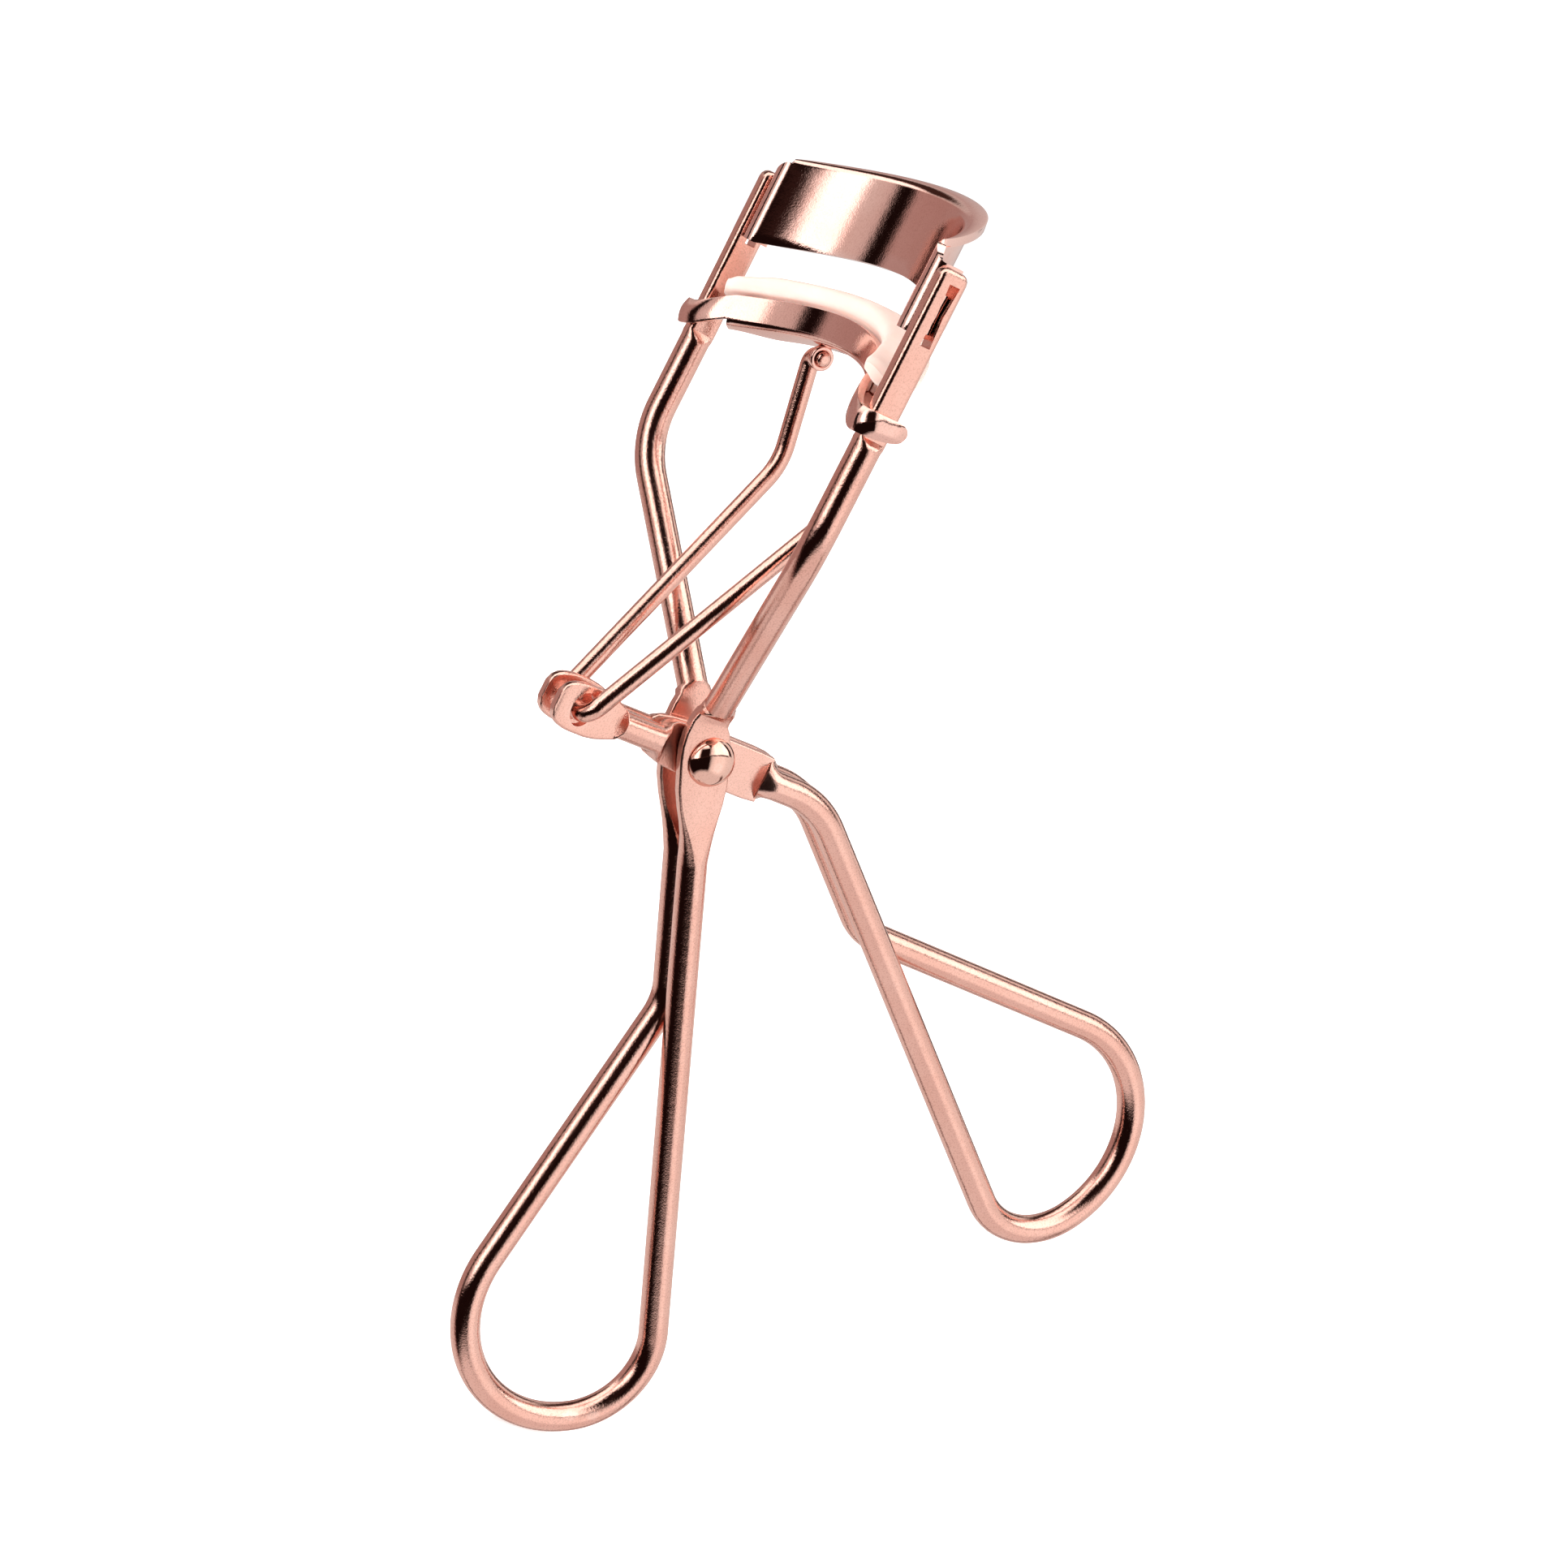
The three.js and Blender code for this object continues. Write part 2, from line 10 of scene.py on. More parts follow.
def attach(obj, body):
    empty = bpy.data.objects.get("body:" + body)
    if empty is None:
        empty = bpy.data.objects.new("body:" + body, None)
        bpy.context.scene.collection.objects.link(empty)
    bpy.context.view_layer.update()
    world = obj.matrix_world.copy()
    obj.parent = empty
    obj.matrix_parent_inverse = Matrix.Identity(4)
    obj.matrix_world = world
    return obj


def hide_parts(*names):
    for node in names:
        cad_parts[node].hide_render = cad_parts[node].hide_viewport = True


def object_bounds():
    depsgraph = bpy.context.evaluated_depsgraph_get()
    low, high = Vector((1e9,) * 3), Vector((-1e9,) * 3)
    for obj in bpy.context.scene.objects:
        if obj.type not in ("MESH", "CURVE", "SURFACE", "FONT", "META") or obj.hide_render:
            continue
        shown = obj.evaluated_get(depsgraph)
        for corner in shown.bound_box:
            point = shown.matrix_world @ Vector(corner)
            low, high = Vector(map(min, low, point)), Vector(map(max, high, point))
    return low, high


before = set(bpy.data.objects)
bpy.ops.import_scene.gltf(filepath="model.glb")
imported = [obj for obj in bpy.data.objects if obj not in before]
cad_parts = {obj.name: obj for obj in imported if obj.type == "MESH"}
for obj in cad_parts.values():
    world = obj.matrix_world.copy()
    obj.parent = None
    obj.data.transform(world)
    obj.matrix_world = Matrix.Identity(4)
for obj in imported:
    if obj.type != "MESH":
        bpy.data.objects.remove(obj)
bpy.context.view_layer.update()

MM = 0.001
PIVOT = Vector((0, -24.544, 5.266))  # the pivot axis in the part's frame, in millimetres

# ---------- dimensions ----------
# Millimetres from the pivot axis. CORNER_TURN, LIP_TURN and a loop's lean and open are degrees,
# and its turn is 1 or -1, the way it bends.
WIRE_R = 1.4
LINK_R = 0.85
FLAT_HALF = 0.55
WIRE_X = 1.45
RAIL_X, RAIL_Y = 17.0, -9.57
RAIL_TOP, RAIL_FOOT = 49.1, 33.2
SLOT_Y, SLOT_LOW, SLOT_HIGH, TAB_SHORT = -9.34, 42.2, 47.9, 1.0
FRAME_LEAF_X, HANDLE_LEAF_X = 2.0, 0.7
FRAME_LOOP = dict(crotch=(9.89, -22.85), lean=24.6, open=35.5, leg=33.0, turn=-1)
HANDLE_LOOP = dict(crotch=(25.92, -10.35), lean=51.5, open=37.4, leg=32.0, turn=1)
CORNER_R, CORNER_TURN, CROTCH_R = 7.8, 89.0, 6.0
EYE_HOLE_Y = -13.95
UPPER_APEX_Y, UPPER_END_X, UPPER_END_Y = -2.9, 14.35, -10.2
UPPER_FOLD_R, UPPER_OUTER_X, UPPER_BACK_Y = 0.75, 15.71, -8.2
UPPER_THICK, UPPER_END_STEP = 0.8, 1.3
UPPER_LOW, UPPER_CREASE = (46.3, 42.76), (53.7, 50.5)  # heights at the middle and at the ends
LIP_TURN, LIP_REACH, LIP_RISE, LIP_RISE_END = 72.0, 1.9, 0.8, 0.12
WALL_R, WALL_APEX_Y, WALL_ARC_X, WALL_TOP, WALL_H, WALL_THICK = 20.0, -5.2, 13.0, 40.8, 2.35, 0.7
COLLAR_Y, COLLAR_R, COLLAR_BACK, COLLAR_TOP = -10.3, 1.3, -7.5, 35.5
COLLAR_H, COLLAR_BACK_H, COLLAR_BULGE = 2.1, 1.95, 0.24
# The collar's rounded tip: how far before its back end, how far below its top, how high.
COLLAR_TIP = ((2.0, 0, 1.85), (1.2, 0, 1.7), (0.6, 0.05, 1.5), (0.25, 0.2, 1.15), (0, 0.45, 0.6))
TROUGH_WIDE, TROUGH_TAPER, TROUGH_TAPER_X, TROUGH_END_X = 2.95, 1.5, 9.3, 12.9
TROUGH_BEND, TROUGH_THICK, TROUGH_LIP = 0.35, 0.5, 0.9
JAW_SAG = 0.0172  # drop of the jaws' curve per square millimetre from the middle
PAD_R, PAD_APEX_Y, PAD_END_X, PAD_TOP, PAD_HEAD = 19.0, -2.9, 15.0, 43.18, 2.0
PAD_HALF, PAD_SIDE_ROOM, PAD_CLIP_X = 2.3, 0.6, 15.95
STEM_END_X, STEM_GONE_X, STEM_FOOT = 11.6, 12.2, 38.55
PIN = (-3.95, 36.4)
LUG_X, LUG_OUTER, LUG_HOLE = (4.9, 5.6), 1.16, 0.74
FRAME_BORE, HANDLE_BORE, EYE_BORE = 1.12, 1.25, (1.15, 1.6)
ROUND_STEPS = 9  # points on each rounded corner of a wire's section
BEND_STEP = 3.0  # degrees between two sections on a bend
FLOOR_SIZE, FLOOR_GAP = 6.0, 0.00002  # in metres


# ---------- small helpers ----------
def lerp(a, b, t):
    return a + (b - a) * t


def smooth(a, b, x):
    t = min(max((x - a) / (b - a), 0.0), 1.0)
    return t * t * (3 - 2 * t)


def outline(shape):
    """Points round a rounded rectangle of half sizes a, b and corner radius r."""
    a, b, r = shape
    points = []
    for quarter, (sx, sy) in enumerate(((1, 1), (-1, 1), (-1, -1), (1, -1))):
        for i in range(ROUND_STEPS):
            angle = math.radians(90 * (quarter + (i + 0.5) / ROUND_STEPS))
            points.append((sx * (a - r) + r * math.cos(angle), sy * (b - r) + r * math.sin(angle)))
    return points


def rod(r):
    return (r, r, r)


def flat(a, b, r=None):
    return (a, b, r if r else a * 0.8)


def key(x, y, z, shape, bend=0.0):
    return (Vector((x, y, z)), shape, bend)


def mirrored(keys):
    return [(Vector((-p.x, p.y, p.z)), shape, bend) for p, shape, bend in reversed(keys)]


def stations_of(keys):
    """Places and sections along the keys, with a true arc for each bend."""
    out = []
    for i, (p, shape, bend) in enumerate(keys):
        if not bend:
            out.append((p, shape))
            continue
        into = (p - keys[i - 1][0]).normalized()
        away = (keys[i + 1][0] - p).normalized()
        turn = into.angle(away)
        start = p - into * (bend * math.tan(turn / 2))
        centre = p + (away - into).normalized() * (bend / math.cos(turn / 2))
        axis = into.cross(away).normalized()
        steps = max(3, math.ceil(math.degrees(turn) / BEND_STEP))
        for s in range(steps + 1):
            arm = Matrix.Rotation(turn * s / steps, 3, axis) @ (start - centre)
            out.append((centre + arm, shape))
    return out


def with_support(stations):
    """Extra places just inside each straight run, so its shading stays even."""
    out = [stations[0]]
    for (p, shape), (q, after) in zip(stations, stations[1:]):
        length = (q - p).length
        if shape == after and length > 1.2:
            for share in (0.2 / length, 0.5, 1 - 0.2 / length):
                out.append((p.lerp(q, share), shape))
        out.append((q, after))
    return out


def make_object(name, verts, faces):
    mesh = bpy.data.meshes.new(name)
    mesh.from_pydata([(PIVOT + Vector(v)) * MM for v in verts], [], faces)
    mesh.validate()
    obj = bpy.data.objects.new(name, mesh)
    bpy.context.scene.collection.objects.link(obj)
    return obj


def fix_normals(obj):
    bm = bmesh.new()
    bm.from_mesh(obj.data)
    bmesh.ops.recalc_face_normals(bm, faces=bm.faces)
    bm.to_mesh(obj.data)
    bm.free()


def skin(name, rings, closed_ends=True):
    """A closed surface over rings of equal length."""
    n = len(rings[0])
    verts = [p for ring in rings for p in ring]
    faces = []
    for i in range(len(rings) - 1):
        for j in range(n):
            k = (j + 1) % n
            faces.append((i * n + j, i * n + k, (i + 1) * n + k, (i + 1) * n + j))
    if closed_ends:
        faces.append(tuple(range(n)))
        faces.append(tuple(range((len(rings) - 1) * n, len(rings) * n)))
    obj = make_object(name, verts, faces)
    fix_normals(obj)
    return obj


def wire(name, keys, side=None):
    """Wire through the keys; the section's first direction stays as near X as it can."""
    stations = with_support(stations_of(keys))
    rings = []
    carried = side
    for i, (p, shape) in enumerate(stations):
        along = Vector()
        if i > 0:
            along += (p - stations[i - 1][0]).normalized()
        if i + 1 < len(stations):
            along += (stations[i + 1][0] - p).normalized()
        along.normalize()
        wide = carried.copy() if carried else Vector((1, 0, 0))
        wide = (wide - along * wide.dot(along)).normalized()
        if carried:
            carried = wide
        high = along.cross(wide)
        rings.append([p + wide * u + high * v for u, v in outline(shape)])
    return skin(name, rings)


def sheet(name, rows, thickness):
    """Sheet metal over rows of centre points."""
    last = len(rows) - 1
    fronts, backs = [], []
    for i, row in enumerate(rows):
        front, back = [], []
        for j, p in enumerate(row):
            up = Vector()
            if j > 0:
                up += (p - row[j - 1]).normalized()
            if j + 1 < len(row):
                up += (row[j + 1] - p).normalized()
            along = Vector()
            if i > 0:
                along += (p - rows[i - 1][j]).normalized()
            if i < last:
                along += (rows[i + 1][j] - p).normalized()
            normal = along.cross(up).normalized() * (thickness / 2)
            front.append(p + normal)
            back.append(p - normal)
        fronts.append(front)
        backs.append(back)
    rings = [f + b[::-1] for f, b in zip(fronts, backs)]
    n = len(rings[0])
    obj = skin(name, rings, closed_ends=False)
    bm = bmesh.new()
    bm.from_mesh(obj.data)
    bm.verts.ensure_lookup_table()
    for base in (0, last * n):
        for j in range(n // 2 - 1):
            quad = (j, j + 1, n - 2 - j, n - 1 - j)
            bm.faces.new([bm.verts[base + q] for q in quad])
    bmesh.ops.recalc_face_normals(bm, faces=bm.faces)
    bm.to_mesh(obj.data)
    bm.free()
    return obj


def apply_modifiers(obj):
    bpy.context.view_layer.update()
    graph = bpy.context.evaluated_depsgraph_get()
    mesh = bpy.data.meshes.new_from_object(obj.evaluated_get(graph))
    obj.modifiers.clear()
    obj.data = mesh
    return obj


def cut(obj, cutter):
    """The object less the cutter, which is removed."""
    modifier = obj.modifiers.new("cut", "BOOLEAN")
    modifier.operation = "DIFFERENCE"
    modifier.solver = "EXACT"
    modifier.object = cutter
    apply_modifiers(obj)
    bpy.data.objects.remove(cutter)
    return obj


def prism(name, points, x0, x1):
    """A block with the given outline in the YZ plane, from x0 to x1."""
    rings = [[Vector((x, y, z)) for y, z in points] for x in (x0, x1)]
    return skin(name, rings)


def oval(y, z, ry, rz, steps=56):
    turns = [2 * math.pi * i / steps for i in range(steps)]
    return [(y + ry * math.cos(t), z + rz * math.sin(t)) for t in turns]


def waisted(half, waist, low, high):
    """Outline of a rail's slot or of the tab in it, narrower at its middle."""
    right = [(half, low), (waist, (low + high) / 2), (half, high)]
    left = [(-n, z) for n, z in reversed(right)]
    return [(SLOT_Y + n, z) for n, z in right + left]


def rounded_edges(obj, width, segments=3, angle=40):
    modifier = obj.modifiers.new("edges", "BEVEL")
    modifier.width = width * MM
    modifier.segments = segments
    modifier.limit_method = "ANGLE"
    modifier.angle_limit = math.radians(angle)
    return apply_modifiers(obj)


def smooth_shading(obj, angle=32):
    for polygon in obj.data.polygons:
        polygon.use_smooth = True
    obj.data.set_sharp_from_angle(angle=math.radians(angle))
    return obj


def finish_piece(obj, body, material, angle=32):
    smooth_shading(obj, angle)
    obj.data.materials.clear()
    obj.data.materials.append(material)
    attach(obj, body)
    return obj


# ---------- camera ----------
CAMERA_AT = Vector((337.94, -213.90, 55.92))
RIGHT = Vector((0.4406, 0.7777, 0.4484))
UP = Vector((-0.3510, -0.3104, 0.8834))
BACK = RIGHT.cross(UP).normalized()
camera_data = bpy.data.cameras.new("camera")
camera_data.lens = 103.02
camera_data.sensor_width = 36
camera = bpy.data.objects.new("camera", camera_data)
bpy.context.scene.collection.objects.link(camera)
facing = Matrix((RIGHT, UP, BACK)).transposed().to_4x4()
camera.matrix_world = Matrix.Translation((CAMERA_AT + PIVOT) * MM) @ facing
bpy.context.scene.camera = camera


# ---------- materials ----------
def add_node(tree, kind, inputs, settings):
    """A node with its settings made and its inputs linked to sockets or set to values."""
    node = tree.nodes.new(kind)
    for name, value in settings.items():
        setattr(node, name, value)
    for name, value in (inputs or {}).items():
        if isinstance(value, bpy.types.NodeSocket):
            tree.links.new(value, node.inputs[name])
        else:
            node.inputs[name].default_value = value
    return node


class Nodes:
    """A short way to build a node tree."""

    def __init__(self, name):
        self.material = bpy.data.materials.new(name)
        self.material.use_nodes = True
        self.tree = self.material.node_tree
        self.shader = self.tree.nodes["Principled BSDF"]
        self.coords = self.tree.nodes.new("ShaderNodeTexCoord").outputs["Object"]

    def add(self, kind, inputs=None, **settings):
        return add_node(self.tree, kind, inputs, settings)

    def put(self, name, value):
        self.tree.links.new(value, self.shader.inputs[name])

    def noise(self, scale, detail, roughness=0.55):
        inputs = {"Vector": self.coords, "Scale": scale, "Detail": detail, "Roughness": roughness}
        return self.add("ShaderNodeTexNoise", inputs).outputs["Fac"]

    def span(self, value, low, high, from_low=0.3, from_high=0.7):
        inputs = {0: value, 1: from_low, 2: from_high, 3: low, 4: high}
        return self.add("ShaderNodeMapRange", inputs).outputs[0]

    def mix(self, factor, first, second):
        inputs = {0: factor, 6: first, 7: second}
        return self.add("ShaderNodeMix", inputs, data_type="RGBA").outputs[2]


def plated(name, light, deep, low, high, grain, wave, satin=0.0):
    """Rose-gold plating: cloudy tint, fine grain, uneven gloss, satin where the steel was stamped."""
    n = Nodes(name)
    cloud = n.noise(160, 4)
    fine = n.noise(6500, 2, 0.7)
    speck = n.noise(6500, 1, 0.5)
    tint = n.mix(n.span(cloud, 0, 1), (*deep, 1), (*light, 1))
    tint = n.mix(n.span(speck, 0.0, 0.2 + 0.5 * satin, 0.48, 0.72), tint, (0.45, 0.22, 0.17, 1))
    edge = n.add("ShaderNodeNewGeometry").outputs["Pointiness"]
    pale = (min(light[0] * 1.03, 1), light[1] * 1.14, light[2] * 1.18, 1)
    tint = n.mix(n.span(edge, 0, 0.5, 0.53, 0.6), tint, pale)
    n.put("Base Color", tint)
    n.shader.inputs["Metallic"].default_value = 1.0
    gloss = n.span(n.noise(420, 5, 0.6), low, high)
    if satin:
        centre = (0.0, PIVOT.y * MM, PIVOT.z * MM)
        flat_only = (0.0, 1.0, 1.0)
        arm = n.add("ShaderNodeVectorMath", {0: n.coords, 1: centre}, operation="SUBTRACT")
        arm = n.add("ShaderNodeVectorMath", {0: arm.outputs[0], 1: flat_only}, operation="MULTIPLY")
        reach = n.add("ShaderNodeVectorMath", {0: arm.outputs[0]}, operation="LENGTH").outputs["Value"]
        near = n.span(reach, satin, 0.0, 0.006, 0.0085)
        gloss = n.add("ShaderNodeMath", {0: gloss, 1: near}, operation="ADD").outputs[0]
    n.put("Roughness", gloss)
    inputs = {"Strength": wave, "Distance": 0.00008, "Height": n.noise(900, 3, 0.6)}
    dents = n.add("ShaderNodeBump", inputs).outputs[0]
    inputs = {"Strength": grain, "Distance": 0.00002, "Height": fine, "Normal": dents}
    n.put("Normal", n.add("ShaderNodeBump", inputs).outputs[0])
    return n.material


def silicone(name):
    """Very pale pink silicone with a soft satin surface and light showing through."""
    n = Nodes(name)
    cloud = n.noise(220, 3)
    tint = n.mix(n.span(cloud, 0, 1), (0.93, 0.72, 0.65, 1), (0.96, 0.79, 0.73, 1))
    n.put("Base Color", tint)
    n.put("Roughness", n.span(n.noise(900, 4), 0.34, 0.5))
    n.shader.inputs["Subsurface Weight"].default_value = 0.35
    n.shader.inputs["Subsurface Radius"].default_value = (1.0, 0.6, 0.5)
    n.shader.inputs["Subsurface Scale"].default_value = 0.0015
    inputs = {"Strength": 0.12, "Distance": 0.00003, "Height": n.noise(3800, 3, 0.6)}
    bump = n.add("ShaderNodeBump", inputs).outputs[0]
    n.put("Normal", bump)
    return n.material


WIRE = plated(
    "rose_gold_wire", light=(0.92, 0.56, 0.48), deep=(0.86, 0.48, 0.40),
    low=0.05, high=0.11, grain=0.8, wave=0.22, satin=0.16,
)
SHEET = plated(
    "rose_gold_sheet", light=(0.93, 0.60, 0.53), deep=(0.87, 0.51, 0.44),
    low=0.03, high=0.07, grain=0.3, wave=0.13,
)
RIVET = plated(
    "rose_gold_rivet", light=(0.92, 0.58, 0.49), deep=(0.87, 0.51, 0.42),
    low=0.04, high=0.08, grain=0.15, wave=0.06,
)
PAD = silicone("pale_pink_silicone")


# ---------- finger loops ----------
def finger_loop(crotch, lean, open, leg, turn):
    """Keys from the foot of the near leg on the +X wire round to the crotch on the -X wire."""
    cy, cz = crotch

    def place(angle, origin, radius, start):
        return (
            origin[0] + turn * radius * (math.cos(start) - math.cos(angle)),
            origin[1] + turn * radius * (math.sin(start) - math.sin(angle)),
        )

    a0 = math.radians(lean)
    a1 = a0 + turn * math.radians(CORNER_TURN)
    far = a0 + turn * math.radians(open)
    a2 = far + turn * math.pi
    foot = (cy + leg * math.sin(a0), cz - leg * math.cos(a0))
    corner = place(a1, foot, CORNER_R, a0)
    off = (corner[0] - cy) * math.cos(far) + (corner[1] - cz) * math.sin(far)
    wide_r = -turn * off / (1 + math.cos(a1 - far))
    track = [place(lerp(a0, a1, s / 28), foot, CORNER_R, a0) for s in range(29)]
    track += [place(lerp(a1, a2, s / 40), corner, wide_r, a1) for s in range(1, 41)]
    track.append((cy, cz))
    run = [0.0]
    for (y0, z0), (y1, z1) in zip(track, track[1:]):
        run.append(run[-1] + math.hypot(y1 - y0, z1 - z0))
    keys = []
    for i, (y, z) in enumerate(track):
        x = lerp(WIRE_X, -WIRE_X, run[i] / run[-1])
        keys.append(key(x, y, z, rod(WIRE_R), CROTCH_R if i == len(track) - 1 else 0))
    return keys


# ---------- frame wire ----------
def line_y(z):
    slope = math.tan(math.radians(FRAME_LOOP["lean"]))
    return FRAME_LOOP["crotch"][0] - (z - FRAME_LOOP["crotch"][1]) * slope


RAIL = (0.75, 1.45, 0.5)
frame_half = [
    key(RAIL_X, RAIL_Y, RAIL_TOP, (0.38, 0.78, 0.34)),
    key(RAIL_X, RAIL_Y, RAIL_TOP - 0.05, (0.52, 0.98, 0.42)),
    key(RAIL_X, RAIL_Y, RAIL_TOP - 0.2, (0.65, 1.2, 0.46)),
    key(RAIL_X, RAIL_Y, RAIL_TOP - 0.45, (0.72, 1.37, 0.48)),
    key(RAIL_X, RAIL_Y, RAIL_TOP - 0.8, RAIL),
    key(RAIL_X, RAIL_Y, RAIL_FOOT, RAIL),
    key(RAIL_X, RAIL_Y - 0.03, RAIL_FOOT - 0.35, (1.1, 1.43, 0.9)),
    key(RAIL_X, RAIL_Y - 0.05, RAIL_FOOT - 0.8, rod(WIRE_R)),
    key(RAIL_X, RAIL_Y - 0.13, 22.2, rod(WIRE_R), 9),
    key(2.86, -2.06, 5.05, rod(WIRE_R)),
    key(2.74, -1.99, 4.86, (1.05, 1.62, 0.95)),
    key(2.52, -1.83, 4.5, flat(0.78, 1.68, 0.5)),
    key(2.15, -1.78, 3.95, flat(0.6, 1.75, 0.35)),
    key(2.03, line_y(3.2) + 0.25, 3.2, flat(FLAT_HALF, 1.9, 0.3)),
    key(FRAME_LEAF_X, line_y(2.2) + 0.08, 2.2, flat(FLAT_HALF, 2.22, 0.25)),
    key(FRAME_LEAF_X, line_y(1.2), 1.2, flat(FLAT_HALF, 2.42, 0.25)),
    key(FRAME_LEAF_X, line_y(0), 0, flat(FLAT_HALF, 2.5, 0.25)),
    key(FRAME_LEAF_X, line_y(-2.6), -2.6, flat(FLAT_HALF, 2.42, 0.25)),
    key(FRAME_LEAF_X, line_y(-4.2), -4.2, flat(FLAT_HALF, 2.15, 0.3)),
    key(1.97, line_y(-5.4), -5.4, flat(0.6, 1.85, 0.4)),
    key(1.86, line_y(-6.6), -6.6, (0.85, 1.6, 0.7)),
    key(1.68, line_y(-7.8), -7.8, (1.16, 1.46, 1.05)),
    key(WIRE_X, line_y(-9.2), -9.2, rod(WIRE_R)),
]
frame_wire = wire(
    "frame_wire_fine", frame_half + finger_loop(**FRAME_LOOP) + mirrored(frame_half)
)
cut(frame_wire, prism("hole", oval(0, 0, FRAME_BORE, FRAME_BORE), -4, 4))
for x0, x1 in ((16, 18), (-18, -16)):
    cut(frame_wire, prism("slot", waisted(0.55, 0.34, SLOT_LOW, SLOT_HIGH), x0, x1))
finish_piece(frame_wire, "frame", WIRE)
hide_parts("frame_wire")


# ---------- handle wire ----------
def eye(y, half, thick=0.45):
    return key(1.4, y, 0, flat(thick, half, 0.28))


handle_half = [
    eye(-16.68, 0.7, 0.36),
    eye(-16.62, 0.95),
    eye(-16.4, 1.5),
    eye(-16.05, 1.85),
    eye(-15.6, 2.08),
    eye(-14.9, 2.25),
    eye(-14.2, 2.3),
    eye(-12.6, 2.3),
    eye(-11.6, 2.15),
    eye(-10.6, 1.85),
    eye(-9.9, 1.6),
    key(1.4, -9.72, 0, (0.8, 1.5, 0.6)),
    key(1.4, -9.55, 0, rod(1.32)),
    key(1.4, -5.5, 0, rod(1.32)),
    key(1.36, -5.3, 0, (0.95, 1.5, 0.6)),
    key(1.0, -4.9, 0, flat(0.62, 1.85, 0.3)),
    key(HANDLE_LEAF_X, -4.2, 0, flat(FLAT_HALF, 2.12, 0.22)),
    key(HANDLE_LEAF_X, -2.4, 0, flat(FLAT_HALF, 2.3, 0.22)),
    key(HANDLE_LEAF_X, 5.4, 0, flat(FLAT_HALF, 2.32, 0.22)),
    key(HANDLE_LEAF_X, 6.9, 0.02, flat(FLAT_HALF, 2.22, 0.22)),
    key(HANDLE_LEAF_X + 0.02, 7.02, 0.02, flat(FLAT_HALF + 0.02, 2.12, 0.3)),
    key(1.3, 7.18, 0.02, (1.22, 1.62, 1.0)),
    key(WIRE_X - 0.03, 7.4, 0, (1.36, 1.46, 1.3)),
    key(WIRE_X, 7.8, 0, rod(WIRE_R)),
    key(WIRE_X, 13.0, 0, rod(WIRE_R), 9),
]
handle_wire = wire(
    "handle_wire_fine", handle_half + finger_loop(**HANDLE_LOOP) + mirrored(handle_half)
)
cut(handle_wire, prism("hole", oval(0, 0, HANDLE_BORE, HANDLE_BORE), -4, 4))
cut(handle_wire, prism("hole", oval(EYE_HOLE_Y, 0, *EYE_BORE), -4, 4))
finish_piece(handle_wire, "handle", WIRE)
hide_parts("handle_wire")


# ---------- pivot rivet ----------
# Radius and height from the middle of the dome down to the shank.
dome = [(0.001, 4.02), (0.3, 4.01), (0.6, 3.98), (0.9, 3.92), (1.2, 3.82), (1.48, 3.69)]
dome += [(1.74, 3.52), (1.96, 3.3), (2.13, 3.06), (2.24, 2.86), (2.28, 2.74), (2.22, 2.65)]
dome += [(2.1, 2.62), (1.0, 2.62)]
turns = [2 * math.pi * i / 64 for i in range(64)]
rings = []
for r, x in dome + [(r, -x) for r, x in reversed(dome)]:
    rings.append([Vector((x, r * math.cos(t), r * math.sin(t))) for t in turns])
rivet = skin("pivot_rivet_fine", rings)
finish_piece(rivet, "frame", RIVET, 50)
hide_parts("pivot_rivet")


# ---------- upper jaw ----------
def arc_y(radius, apex, x):
    return apex - radius + math.sqrt(radius * radius - x * x)


def upper_plan():
    """Places from the jaw's middle to its end strip: x, y, outward direction, on the fold or not."""
    drop = UPPER_APEX_Y - UPPER_END_Y
    radius = (UPPER_END_X**2 + drop**2) / (2 * drop)
    places = []
    for s in range(31):
        x = UPPER_END_X * math.sin(math.radians(3 * s))
        y = arc_y(radius, UPPER_APEX_Y, x)
        places.append((x, y, x / radius, (y - UPPER_APEX_Y + radius) / radius, False))
    fold_start = math.asin(UPPER_END_X / radius)
    fold_y = UPPER_END_Y + UPPER_FOLD_R * math.cos(fold_start)
    fold_x = UPPER_OUTER_X - UPPER_FOLD_R
    for s in range(1, 21):
        heading = -fold_start + (fold_start + math.pi / 2) * s / 20
        ox, oy = -math.sin(heading), math.cos(heading)
        places.append((fold_x - UPPER_FOLD_R * ox, fold_y - UPPER_FOLD_R * oy, ox, oy, True))
    for y in (-9.2, -8.7, UPPER_BACK_Y):
        places.append((UPPER_OUTER_X, y, -1.0, 0.0, True))
    return places


def upper_row(x, y, ox, oy, fold):
    """One upright row of the upper jaw, from its low edge to the end of its flared lip."""
    inner = min(x, UPPER_END_X)
    share = (inner / UPPER_END_X) ** 2
    low = lerp(*UPPER_LOW, share)
    step = smooth(UPPER_END_X, UPPER_OUTER_X, x) if fold else 0.0
    crease = lerp(*UPPER_CREASE, share) - UPPER_END_STEP * step
    flare = max(0.0, math.cos(0.5 * math.pi * inner / UPPER_END_X)) ** 0.6
    row = [Vector((x, y, lerp(low, crease, t / 8))) for t in range(9)]
    turned = math.radians(LIP_TURN)
    for s in range(1, 13):
        angle = turned * s / 12
        reach = LIP_REACH * flare * (1 - math.cos(angle)) / (1 - math.cos(turned))
        lift = (LIP_RISE_END + LIP_RISE * flare) * math.sin(angle) / math.sin(turned)
        row.append(Vector((x + ox * reach, y + oy * reach, crease + lift)))
    return row


